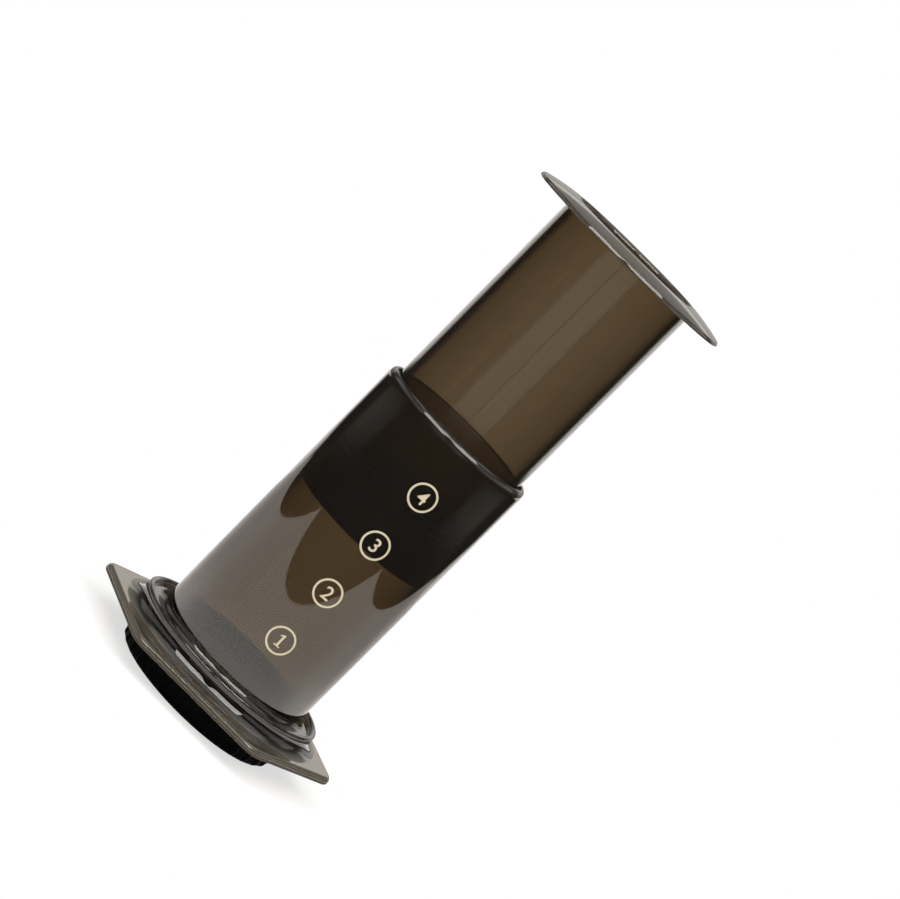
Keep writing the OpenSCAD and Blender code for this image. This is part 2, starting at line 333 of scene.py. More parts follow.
def turned_tree():
    """Turns a profile about Z. Points with a hex_share of 1 follow a round-cornered hexagon."""
    desk, given = shape_tree(
        "Turned Piece", segments="Int", corner_crowding="Float", hexagon_corner="Float"
    )
    profile, corner = given["Geometry"], given["Hexagon Corner"]
    rows = desk.make("GeometryNodeAttributeDomainSize", {"Geometry": profile}, component="MESH")
    columns = desk.total(given["Segments"], 1.0)
    grid = desk.make("GeometryNodeMeshGrid", {"Vertices X": rows, "Vertices Y": columns})

    index = desk.make("GeometryNodeInputIndex")
    row = desk.math("FLOOR", desk.math("DIVIDE", desk.total(index, 0.5), columns))
    column = desk.less(index, desk.product(row, columns))

    def sampled(kind, value):
        """A value of the profile at this row's point."""
        inputs = {"Geometry": profile, "Value": value, "Index": row}
        return desk.make("GeometryNodeSampleIndex", inputs, data_type=kind, domain="POINT")

    named = desk.make("GeometryNodeInputNamedAttribute", {"Name": "hex_share"}, data_type="FLOAT")
    share = sampled("FLOAT", named)
    radius, _, height = desk.split(sampled("FLOAT_VECTOR", desk.make("GeometryNodeInputPosition")))

    even = desk.product(desk.math("DIVIDE", column, given["Segments"]), FULL_TURN)
    wave = desk.math("DIVIDE", desk.math("SINE", desk.product(even, HEXAGON_SIDES)), HEXAGON_SIDES)
    angle = desk.less(even, desk.product(wave, given["Corner Crowding"]))
    hexagon = hexagon_radius(desk, angle, corner, desk.less(radius, corner))
    reach = desk.total(radius, desk.product(desk.less(hexagon, radius), share))
    x = desk.product(reach, desk.math("COSINE", angle))
    y = desk.product(reach, desk.math("SINE", angle))
    place = desk.vector(x, y, height)
    moved = desk.make("GeometryNodeSetPosition", {"Geometry": grid, "Position": place})
    welded = desk.make("GeometryNodeMergeByDistance", {"Geometry": moved, "Distance": WELD})
    return close_tree(desk, welded, given["Material"])


def copies_tree():
    """Sets copies of one piece evenly round Z."""
    desk, given = shape_tree("Copies Round The Axis", count="Int")
    points = desk.make("GeometryNodePoints", {"Count": given["Count"]})
    index = desk.make("GeometryNodeInputIndex")
    turn = desk.product(desk.math("DIVIDE", index, given["Count"]), FULL_TURN)
    rotation = desk.vector(0.0, 0.0, turn)
    inputs = {"Points": points, "Instance": given["Geometry"], "Rotation": rotation}
    return close_tree(desk, desk.make("GeometryNodeInstanceOnPoints", inputs), given["Material"])


def perforated_tree(rings):
    """Drills a hole in the middle of a plate and rings of holes round it, six more in each ring."""
    desk, given = shape_tree(
        "Perforated Floor", pitch="Float", hole_radius="Float", depth="Float", height="Float"
    )
    inputs = {"Vertices": HOLE_SIDES, "Radius": given["Hole Radius"], "Depth": given["Depth"]}
    drill = desk.make("GeometryNodeMeshCylinder", inputs)
    spots = desk.add("GeometryNodeJoinGeometry", {0: desk.make("GeometryNodePoints", {"Count": 1})})
    for ring in range(1, rings + 1):
        inputs = {"Vertices": RING_STEP * ring, "Radius": desk.product(given["Pitch"], float(ring))}
        desk.feed(spots.inputs[0], desk.make("GeometryNodeMeshCircle", inputs))
    offset = desk.vector(0.0, 0.0, given["Height"])
    lifted = desk.make("GeometryNodeSetPosition", {"Geometry": spots.outputs[0], "Offset": offset})
    holes = desk.make("GeometryNodeInstanceOnPoints", {"Points": lifted, "Instance": drill})
    solid = desk.make("GeometryNodeRealizeInstances", {"Geometry": holes})
    inputs = {"Mesh 1": given["Geometry"], "Mesh 2": solid}
    cut = desk.make("GeometryNodeMeshBoolean", inputs, operation="DIFFERENCE", solver="MANIFOLD")
    return close_tree(desk, cut, given["Material"])


def wrapped_tree():
    """Wraps flat artwork round a tube: x runs round it, y up it and z out of it."""
    desk, given = shape_tree("Wrapped On The Tube", tube_radius="Float")
    x, y, z = desk.split(desk.make("GeometryNodeInputPosition"))
    turn = desk.math("DIVIDE", x, given["Tube Radius"])
    reach = desk.total(given["Tube Radius"], z)
    across = desk.product(reach, desk.math("SINE", turn))
    towards = desk.product(reach, desk.math("COSINE", turn), -1.0)
    place = desk.vector(across, towards, y)
    moved = desk.make("GeometryNodeSetPosition", {"Geometry": given["Geometry"], "Position": place})
    return close_tree(desk, moved, given["Material"])


# Objects and meshes

TREES = {}
SUPPORT = 0.25 * MM
SEAM = 0.001 * MM
SMOOTH_ANGLE = math.radians(32.0)
LUG_HALF_TURN = math.radians(5.0)
LUG_STEPS = 6


def link_object(name, mesh):
    """Puts a mesh into the scene as an object at the origin."""
    made = bpy.data.objects.new(name, mesh)
    bpy.context.scene.collection.objects.link(made)
    return made


def mesh_object(name, work):
    """Ends a bmesh as an object."""
    mesh = bpy.data.meshes.new(name)
    work.to_mesh(mesh)
    work.free()
    return link_object(name, mesh)


def evaluated_mesh(holder, name):
    """A plain mesh of an object as its modifiers leave it."""
    graph = bpy.context.evaluated_depsgraph_get()
    graph.update()
    mesh = bpy.data.meshes.new_from_object(holder.evaluated_get(graph), depsgraph=graph)
    mesh.name = name
    return mesh


def discard(piece):
    """Removes an object and its mesh."""
    old = piece.data
    bpy.data.objects.remove(piece)
    bpy.data.meshes.remove(old)


def run_tree(source, tree, name, **values):
    """Runs a tree on a source object, keeps the result as a plain mesh object and removes the source."""
    modifier = source.modifiers.new(tree.name, "NODES")
    modifier.node_group = tree
    sockets = {
        item.name: item.identifier
        for item in tree.interface.items_tree
        if item.item_type == "SOCKET" and item.in_out == "INPUT"
    }
    for key, value in values.items():
        modifier[sockets[socket_label(key)]] = value
    mesh = evaluated_mesh(source, name)
    source.modifiers.remove(modifier)
    discard(source)
    return link_object(name, mesh)


def arc(r, z, radius, start, end, steps=8, height=None):
    """Points of an arc about (r, z), in degrees from the outward direction.

    With a height it is part of an ellipse.
    """
    turns = [math.radians(start + (end - start) * k / steps) for k in range(steps + 1)]
    return [(r + radius * math.cos(t), z + (height or radius) * math.sin(t)) for t in turns]


def arc_centre(point, radius, turn):
    """Centre of the arc that passes a point at a given turn."""
    turn = math.radians(turn)
    return point[0] - radius * math.cos(turn), point[1] - radius * math.sin(turn)


def arc_to(end_point, radius, start, end, steps=8):
    """Points of an arc that ends at a given point."""
    return arc(*arc_centre(end_point, radius, end), radius, start, end, steps)


def rounded(r, z, radius, start, end, steps=4):
    """Points of an arc that rounds a square corner at (r, z)."""
    a, b = math.radians(start), math.radians(end)
    outward, upward = round(math.cos(a) + math.cos(b)), round(math.sin(a) + math.sin(b))
    return arc(r - radius * outward, z - radius * upward, radius, start, end, steps)


def supported(points):
    """Adds a point just inside both ends of each long straight run, so that smooth shading stays flat."""
    out = [points[0]]
    for here, there in zip(points, points[1:]):
        start, end = Vector(here[:2]), Vector(there[:2])
        run = (end - start).length
        if run > 3.0 * SUPPORT:
            step = (end - start) * (SUPPORT / run)
            out += [(*(start + step), here[2]), (*(end - step), there[2])]
        out.append(there)
    return out


def profile_object(name, points):
    """A line of points (radius, height, hexagon share) for the turning tree."""
    mesh = bpy.data.meshes.new(name)
    links = [(k, k + 1) for k in range(len(points) - 1)]
    mesh.from_pydata([(r, 0.0, z) for r, z, _ in points], links, [])
    share = mesh.attributes.new("hex_share", "FLOAT", "POINT")
    share.data.foreach_set("value", [hex_share for _, _, hex_share in points])
    return link_object(name, mesh)


def turned(name, points, material, segments=256, crowding=0.0, hexagon_corner=1.0):
    """A turned piece from a profile of (radius, height) or (radius, height, hexagon share) points."""
    full = supported([point if len(point) == 3 else (*point, 0.0) for point in points])
    return run_tree(
        profile_object(name + "_profile", full), TREES["turned"], name, segments=segments,
        corner_crowding=crowding, hexagon_corner=hexagon_corner, material=material,
    )


def skinned(name, rings):
    """A closed solid through rings of points."""
    work = bmesh.new()
    rows = [[work.verts.new(point) for point in ring] for ring in rings]
    for here, there in zip(rows, rows[1:]):
        for k in range(len(here)):
            work.faces.new((here[k - 1], here[k], there[k], there[k - 1]))
    work.faces.new(rows[0])
    work.faces.new(list(reversed(rows[-1])))
    bmesh.ops.recalc_face_normals(work, faces=work.faces)
    return mesh_object(name, work)


def lug_object(name, inner, outer, middle, sizes):
    """One ramped twist-lock lug across +X, from the inner to the outer radius."""
    half = sizes.lug_inner * math.tan(LUG_HALF_TURN)
    rise = sizes.lug_lead / FULL_TURN / sizes.lug_inner * half
    rings = []
    for k in range(LUG_STEPS + 1):
        share = 2.0 * k / LUG_STEPS - 1.0
        side, low = half * share, middle + rise * share
        high = low + sizes.lug_thickness
        corners = ((inner, low), (outer, low), (outer, high), (inner, high))
        rings.append([(math.sqrt(radius * radius - side * side), side, z) for radius, z in corners])
    return skinned(name, rings)


def polish(piece):
    """Closes seams, points faces outwards and shades smooth up to an angle."""
    work = bmesh.new()
    work.from_mesh(piece.data)
    bmesh.ops.remove_doubles(work, verts=work.verts, dist=SEAM)
    bmesh.ops.recalc_face_normals(work, faces=work.faces)
    work.to_mesh(piece.data)
    work.free()
    piece.data.polygons.foreach_set("use_smooth", [True] * len(piece.data.polygons))
    piece.data.set_sharp_from_angle(angle=SMOOTH_ANGLE)
    return piece


def joined(name, pieces):
    """Joins pieces of one material into one object."""
    whole = bmesh.new()
    for piece in pieces:
        whole.from_mesh(piece.data)
    made = mesh_object(name, whole)
    for material in pieces[0].data.materials:
        made.data.materials.append(material)
    for piece in pieces:
        discard(piece)
    made.data.set_sharp_from_angle(angle=SMOOTH_ANGLE)
    return made


def united(piece, other):
    """Fuses another closed mesh into a piece."""
    name = piece.name
    fuse = piece.modifiers.new("Fuse", "BOOLEAN")
    fuse.operation = "UNION"
    fuse.solver = "MANIFOLD"
    fuse.object = other
    mesh = evaluated_mesh(piece, name)
    discard(piece)
    discard(other)
    return link_object(name, mesh)


# Materials

NOISE_MIDDLE = (0.3, 0.7)
CLEAR_TINT = (1.0, 0.985, 0.96)
CLEAR_SHARE = 0.997
PLAIN_SHARE = 0.99
FLANGE_SHARE = 0.94
DISC_SHARE = 0.96
PLASTIC_IOR = 1.5
# Painted shade between two heights: the length over which it sets in, the length over which it ends, and
# how much it darkens
PAINTED_SHADE_RISE = 1.0 * MM
PAINTED_SHADE_FALL = 0.6 * MM
PAINTED_SHADE_DEPTH = 0.5


def surface(name):
    """A new material with its desk, its main shader and its output."""
    material = bpy.data.materials.new(name)
    material.use_nodes = True
    nodes = material.node_tree.nodes
    return material, Desk(material.node_tree), nodes["Principled BSDF"], nodes["Material Output"]


def grain(desk, scale, detail=3.0, stretch=(1.0, 1.0, 1.0)):
    """Noise on Object coordinates, as a 0 to 1 value."""
    where = desk.make("ShaderNodeMapping", {"Vector": desk.coordinates(), "Scale": stretch})
    return desk.make("ShaderNodeTexNoise", {"Vector": where, "Scale": scale, "Detail": detail})


def spread(desk, noise, low, high):
    """Spreads the middle of a noise over a range."""
    return desk.ramp(noise, *NOISE_MIDDLE, low, high, "LINEAR")


def mottle(desk, shader, noise, base, dark, light):
    """Runs the base colour from a darker to a lighter shade of itself along a noise."""
    ramp = desk.add("ShaderNodeValToRGB", {"Fac": noise})
    for element, position, factor in zip(ramp.color_ramp.elements, NOISE_MIDDLE, (dark, light)):
        element.position = position
        element.color = (*(min(1.0, part * factor) for part in base), 1.0)
    desk.feed(shader.inputs["Base Color"], ramp.outputs["Color"])


def gloss(desk, shader, noise, low, high):
    """Varies the roughness along a noise."""
    desk.feed(shader.inputs["Roughness"], spread(desk, noise, low, high))


def raised(desk, shader, height, strength, distance):
    """Bump from a height value."""
    inputs = {"Strength": strength, "Distance": distance, "Height": height}
    desk.feed(shader.inputs["Normal"], desk.make("ShaderNodeBump", inputs))


def smoked_plastic(name, tint, density, milk, milky_share, clear_height, milky_height, dark=None):
    """Clear plastic with a smoke tint in its depth, faint draw lines along the tube and a moulded ripple.

    It turns a little milky from the clear height to the milky one, where the moulding is thick.
    Between the two heights in dark its colour is deeper: painted shade.
    """
    material, desk, shader, out = surface(name)
    height = desk.split(desk.coordinates())[2]
    lines = grain(desk, scale=420.0, detail=2.0, stretch=(1.0, 1.0, 0.012))
    streak = spread(desk, lines, low=0.93, high=1.0)
    # Painted shade: a darker colour between the two heights in dark
    if dark:
        low, high = dark
        painted_shade = desk.band(height, (low, low + PAINTED_SHADE_RISE), (high - PAINTED_SHADE_FALL, high), PAINTED_SHADE_DEPTH)
        streak = desk.product(streak, desk.less(1.0, painted_shade))
    parts = [
        desk.product(streak, desk.ramp(height, clear_height, milky_height, clear, milky))
        for clear, milky in zip(CLEAR_TINT, milk)
    ]
    desk.feed(shader.inputs["Base Color"], desk.vector(*parts))
    # The plain value is for viewers that don't follow the link
    shader.inputs["Transmission Weight"].default_value = PLAIN_SHARE
    share = desk.ramp(height, clear_height, milky_height, CLEAR_SHARE, milky_share)
    desk.feed(shader.inputs["Transmission Weight"], share)
    shader.inputs["IOR"].default_value = PLASTIC_IOR
    gloss(desk, shader, grain(desk, scale=160.0, detail=1.0), low=0.012, high=0.035)
    ripple = grain(desk, scale=90.0, detail=1.0)
    relief = desk.total(desk.product(lines, 0.5), ripple)
    raised(desk, shader, relief, strength=0.03, distance=0.12 * MM)
    depth = desk.make("ShaderNodeVolumeAbsorption", {"Color": (*tint, 1.0), "Density": density})
    desk.feed(out.inputs["Volume"], depth)
    return material


def black_plastic(base):
    """Satin black moulding with a fine spark-eroded grain."""
    material, desk, shader, _ = surface("satin_black_moulding")
    mottle(desk, shader, grain(desk, scale=140.0), base, dark=0.8, light=1.3)
    gloss(desk, shader, grain(desk, scale=500.0), low=0.30, high=0.42)
    shader.inputs["Specular IOR Level"].default_value = 0.03
    raised(desk, shader, grain(desk, scale=3500.0, detail=2.0), strength=0.12, distance=0.04 * MM)
    return material


def black_rubber(base):
    """Matt black rubber with a dusty bloom."""
    material, desk, shader, _ = surface("matt_black_rubber")
    mottle(desk, shader, grain(desk, scale=200.0), base, dark=0.8, light=1.6)
    gloss(desk, shader, grain(desk, scale=700.0), low=0.5, high=0.66)
    raised(desk, shader, grain(desk, scale=2600.0, detail=2.0), strength=0.1, distance=0.04 * MM)
    return material


def fibrous_paper(base):
    """Soft white paper with crossing fibres."""
    material, desk, shader, _ = surface("fibrous_filter_paper")
    ways = ((1.0, 0.12, 1.0), (0.12, 1.0, 1.0))
    sets = [grain(desk, scale=700.0, detail=4.0, stretch=way) for way in ways]
    fibres = desk.product(desk.total(*sets), 0.5)
    mottle(desk, shader, fibres, base, dark=0.92, light=1.06)
    gloss(desk, shader, fibres, low=0.8, high=0.95)
    raised(desk, shader, fibres, strength=0.5, distance=0.06 * MM)
    return material


def printed_ink(base):
    """Cream pad-printed ink, a little uneven."""
    material, desk, shader, _ = surface("cream_printed_ink")
    tone = grain(desk, scale=900.0)
    mottle(desk, shader, tone, base, dark=0.92, light=1.06)
    gloss(desk, shader, tone, low=0.4, high=0.55)
    raised(desk, shader, grain(desk, scale=4000.0, detail=2.0), strength=0.1, distance=0.02 * MM)
    return material


# Operators

FLANGE_MILK_START = 2.5 * MM
FLANGE_MILK_DEPTH = 0.5 * MM
DISC_MILK_START = 2.0 * MM
SOCKET_SLACK = 0.08 * MM
GROOVE_SLACK = 0.2 * MM
SOCKET_CHAMFER = 0.3 * MM
GRIP_STEP = 0.2 * MM
DRILL_LENGTH = 4.0
LUG_ROOT = 0.8 * MM
CAP_LUG_ROOT = 0.5 * MM
RIB_ROOT = 0.4 * MM
RIB_STEPS = 8
RIB_CLEAR = 0.1 * MM
RIB_TOP = ((0.0, 0.5 * MM), (0.12 * MM, 0.15 * MM), (0.45 * MM, 0.0))
INK_THICKNESS = 0.03 * MM
INK_LIFT = 0.02 * MM
INK_WELD = 0.0005 * MM
DIGIT_HEIGHT = 4.9 * MM
TYPE_SIZE = 1.45
TYPE_WEIGHT = 0.06 * MM
TYPE_STEPS = 6
DIGIT_CUTS = 2
ONE = (
    (-0.26, -0.5), (0.26, -0.5), (0.26, -0.4), (0.085, -0.4), (0.085, 0.5), (-0.02, 0.5),
    (-0.26, 0.36), (-0.26, 0.24), (-0.085, 0.32), (-0.085, -0.4), (-0.26, -0.4),
)


def ready(context):
    """The sizes and colours to build with. Makes the shared trees on first use."""
    if not TREES:
        TREES.update(turned=turned_tree(), copies=copies_tree(), wrapped=wrapped_tree())
    return context.scene.press_sizes, context.scene.press_colours


def dress(piece, body, slot, *nodes):
    """Rides a finished piece on its body and puts it in the place of its CAD nodes."""
    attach(piece, body)
    if nodes:
        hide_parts(*nodes)


class PRESS_OT_chamber(Operator):
    """Turn the chamber with its collar, hexagonal flange and lugs"""

    bl_idname = "press.chamber"
    bl_label = "Chamber"

    def execute(self, context):
        s, colours = ready(context)
        bore, outer = s.tube_radius - s.tube_wall, s.tube_radius - s.mouth_edge
        shelf, rim_wall = s.collar_height - s.groove_depth, s.collar_radius - s.collar_rim
        cavity, cavity_top = s.collar_radius - s.collar_wall, shelf - s.shelf_thickness
        flange_top, ease = s.flange_low + s.flange_thickness, 0.3 * MM
        tube = [(bore, s.tube_end + ease)]
        tube += rounded(bore, s.mouth_height, s.mouth_lip, 180.0, 90.0, 8)
        tube += arc(outer, s.mouth_height - s.mouth_roll, s.mouth_edge, 90.0, 0.0, 18, s.mouth_roll)
        tube += rounded(s.tube_radius, shelf, s.shelf_fillet, 180.0, 270.0, 16)
        collar = rounded(rim_wall, shelf, ease, 270.0, 360.0)
        collar += rounded(rim_wall, s.collar_height, s.collar_edge, 180.0, 90.0, 10)
        collar += rounded(s.collar_radius, s.collar_height, s.collar_edge, 90.0, 0.0, 10)
        collar += rounded(s.collar_radius, flange_top, s.collar_foot, 180.0, 270.0, 20)
        flange = rounded(s.flange_reach, flange_top, s.flange_edge, 90.0, 0.0, 8)
        flange += rounded(s.flange_reach, s.flange_low, 0.5 * s.flange_edge, 0.0, -90.0, 8)
        inside = rounded(cavity, s.flange_low, ease, 270.0, 180.0)
        inside += [(cavity, cavity_top), (s.tube_radius, cavity_top)]
        inside += rounded(s.tube_radius, s.tube_end, ease, 0.0, -90.0)
        inside += rounded(bore, s.tube_end, ease, 270.0, 180.0)
        points = tube + collar + [(r, z, 1.0) for r, z in flange] + inside

        clear_height, milky_height = flange_top + FLANGE_MILK_START, flange_top - FLANGE_MILK_DEPTH
        # The collar and its groove get painted shade: a deeper colour from the flange's top up to the
        # rim's top
        smoke = smoked_plastic(
            "smoked_chamber", colours.smoke, colours.chamber_density, colours.flange_milk, FLANGE_SHARE,
            clear_height, milky_height, dark=(flange_top, s.collar_height),
        )
        hexagon = s.flange_reach - s.flange_corner
        chamber = turned("chamber_shell", points, smoke, 384, crowding=0.7, hexagon_corner=hexagon)
        lug = lug_object("chamber_lug", s.lug_inner, cavity + LUG_ROOT, s.lug_height, s)
        lugs = run_tree(lug, TREES["copies"], "chamber_lugs", count=s.lug_count, material=smoke)
        chamber = united(polish(chamber), lugs)
        dress(polish(chamber), "chamber", "smoked_clear_chamber", "chamber")
        return {"FINISHED"}


class PRESS_OT_plunger(Operator):
    """Turn the hollow plunger with its hand disc and the neck for the seal"""

    bl_idname = "press.plunger"
    bl_label = "Plunger"

    def execute(self, context):
        s, colours = ready(context)
        top, low = PLUNGER_HIGH.z, PLUNGER_LOW.z
        bore, neck_bore = s.plunger_radius - s.plunger_wall, s.neck_radius - s.neck_wall
        disc_low = top - s.disc_height
        rim, ease, lip = s.disc_rim, 0.4 * MM, s.disc_lip
        band_low, band_high, dome_low, dome_high = 12.0, 32.0, 73.0, 84.0
        edge = arc(s.disc_radius - rim, disc_low + rim, rim, band_low, -90.0, 6)
        band = arc_to(edge[0], s.disc_band, band_high, band_low)
        crease = arc_to(band[0], s.disc_crease, dome_low, band_high, 4)
        roll = arc(bore + lip, top - lip, lip, 180.0, dome_high, 16)
        width, drop = crease[0][0] - roll[-1][0], roll[-1][1] - crease[0][1]
        middle = 90.0 - math.degrees(math.atan2(drop, width))
        dome = math.hypot(width, drop) / 2.0 / math.sin(math.radians(dome_high - middle))
        dome_r, dome_z = arc_centre(roll[-1], dome, dome_high)
        under = dome - s.disc_shell
        under_low = math.degrees(math.asin((disc_low - dome_z) / under))
        under_high = math.degrees(math.acos((s.plunger_radius + ease - dome_r) / under))
        under_z = dome_z + under * math.sin(math.radians(under_high))
        floor_top, shoulder_top = low + s.plunger_floor, s.shoulder_height + s.plunger_floor
        bead_z = (s.shoulder_height + low) / 2.0

        points = [(0.0, floor_top)]
        points += rounded(neck_bore, floor_top, ease, 270.0, 360.0)
        points += rounded(neck_bore, shoulder_top, ease, 180.0, 90.0)
        points += rounded(bore, shoulder_top, ease, 270.0, 360.0)
        points += roll[:-1] + arc(dome_r, dome_z, dome, dome_high, 2.0 * middle - dome_high, 18)
        points += crease[1:] + band[1:] + edge[1:]
        points += arc(dome_r, dome_z, under, under_low, under_high, 14)
        points += rounded(s.plunger_radius, under_z, ease, 90.0, 180.0)
        points += rounded(s.plunger_radius, s.shoulder_height, ease, 0.0, -90.0)
        points += [(s.neck_radius, s.shoulder_height)]
        points += arc(s.neck_radius, bead_z, s.bead, 90.0, -90.0, 12)
        points += rounded(s.neck_radius, low, ease, 0.0, -90.0)
        points += [(0.0, low)]
        clear_height = disc_low - DISC_MILK_START
        smoke = smoked_plastic(
            "smoked_plunger", colours.smoke, colours.plunger_density, colours.disc_milk, DISC_SHARE,
            clear_height, disc_low,
        )
        plunger = turned("plunger_shell", points, smoke)
        dress(polish(plunger), "plunger", "smoked_clear_plunger", "plunger")
        return {"FINISHED"}


class PRESS_OT_seal(Operator):
    """Turn the rubber seal with its two wiping lips"""

    bl_idname = "press.seal"
    bl_label = "Seal"

    def execute(self, context):
        s, colours = ready(context)
        top, chamfer = SEAL_HIGH.z, SOCKET_CHAMFER
        socket, groove = s.neck_radius + SOCKET_SLACK, s.bead + GROOVE_SLACK
        low_r, low_z = s.seal_radius - s.seal_low_lip, s.seal_base + s.seal_low_lip
        high_r, high_z = s.seal_radius - s.seal_high_lip, top - s.seal_high_lip
        waist = s.seal_radius - s.seal_waist
        low_turn = math.degrees(math.acos((waist - low_r) / s.seal_low_lip))
        high_turn = math.degrees(math.acos((waist - high_r) / s.seal_high_lip))
        bead_z = (s.shoulder_height + PLUNGER_LOW.z) / 2.0
        points = [(0.0, SEAL_LOW.z)]
        points += arc(low_r, low_z, s.seal_low_lip, -90.0, low_turn, 16)
        points += arc(high_r, high_z, s.seal_high_lip, -high_turn, 90.0, 14)
        points += [(socket + chamfer, top), (socket, top - chamfer)]
        points += arc(socket, bead_z, groove, 90.0, -90.0, 12)
        points += [(socket, s.seal_socket), (0.0, s.seal_socket)]
        seal = turned("plunger_seal_rubber", points, black_rubber(colours.rubber_black), segments=192)
        dress(polish(seal), "seal", "black_rubber", "plunger_seal")
        return {"FINISHED"}


class PRESS_OT_filter_cap(Operator):
    """Make the filter cap: band, grip ribs, lugs and perforated floor"""

    bl_idname = "press.filter_cap"
    bl_label = "Filter cap"

    def execute(self, context):
        s, colours = ready(context)
        black = black_plastic(colours.cap_black)
        inner, seat = s.cap_radius - s.cap_wall, s.cap_radius - s.cap_foot
        floor, thickness = s.cap_floor, s.cap_floor_thickness
        floor_top, ease = floor + thickness, 0.35 * MM
        points = rounded(seat, 0.0, ease, 180.0, 270.0)
        points += rounded(s.cap_radius, 0.0, s.cap_edge, -90.0, 0.0, 10)
        points += [(s.cap_radius, s.cap_grip - GRIP_STEP)]
        points += rounded(s.cap_radius, CAP_HIGH.z, ease, 0.0, 90.0, 5)
        points += rounded(inner, CAP_HIGH.z, ease, 90.0, 180.0, 5)
        points += [(inner, floor_top), (seat, floor_top), (seat, ease)]
        band = turned("cap_band", points, black, segments=240)
        outline = [(0.0, floor), (seat + ease, floor), (seat + ease, floor_top), (0.0, floor_top)]
        plate = turned("cap_plate", outline, black, segments=120)
        drilled = run_tree(
            polish(plate), perforated_tree(s.hole_rings), "cap_floor", pitch=s.hole_pitch,
            hole_radius=s.hole_radius, depth=DRILL_LENGTH * thickness, height=floor + thickness / 2.0,
            material=black,
        )
        ribs = run_tree(self.rib(s), TREES["copies"], "cap_ribs", count=s.rib_count, material=black)
        middle = s.lug_height + s.lug_thickness + s.lug_gap
        lug = lug_object("cap_lug", s.cap_radius - CAP_LUG_ROOT, s.lug_outer, middle, s)
        lugs = run_tree(lug, TREES["copies"], "cap_lugs", count=s.lug_count, material=black)
        cap = joined("filter_cap_moulding", [polish(part) for part in (band, drilled, ribs, lugs)])
        dress(cap, "cap", "black_plastic", "filter_cap")
        return {"FINISHED"}

    @staticmethod
    def rib(s):
        """One grip rib on +X: a round bar with a soft top that rolls under with the cap's lower edge."""
        centre = s.cap_radius + s.rib_proud - s.rib_radius
        sweep = math.degrees(math.acos((s.cap_radius - RIB_ROOT - centre) / s.rib_radius))
        edge = s.cap_edge + s.rib_proud
        turns = [math.radians(90.0 * k / RIB_STEPS) for k in range(1, RIB_STEPS + 1)]
        rows = [(edge * (1.0 - math.sin(t)), edge * (1.0 - math.cos(t))) for t in turns]
        rows = [(drop, z) for drop, z in rows if z > RIB_CLEAR]
        rows += [(drop, s.cap_grip - below) for drop, below in RIB_TOP]
        rings = []
        for drop, z in rows:
            face = arc(centre - drop, 0.0, s.rib_radius, -sweep, sweep, 10)
            rings.append([(x, y, z) for x, y in face])
        return skinned("cap_rib", rings)


class PRESS_OT_paper(Operator):
    """Cut the round paper filter"""

    bl_idname = "press.paper"
    bl_label = "Paper filter"

    def execute(self, context):
        _, colours = ready(context)
        radius, low, high = PAPER_HIGH.x, PAPER_LOW.z, PAPER_HIGH.z
        reaches = (0.0, radius / 2.0, radius)
        points = [(r, low) for r in reaches] + [(r, high) for r in reversed(reaches)]
        paper = turned("paper_filter_disc", points, fibrous_paper(colours.paper_white), segments=160)
        dress(polish(paper), "paper", "filter_paper", "paper_filter")
        return {"FINISHED"}


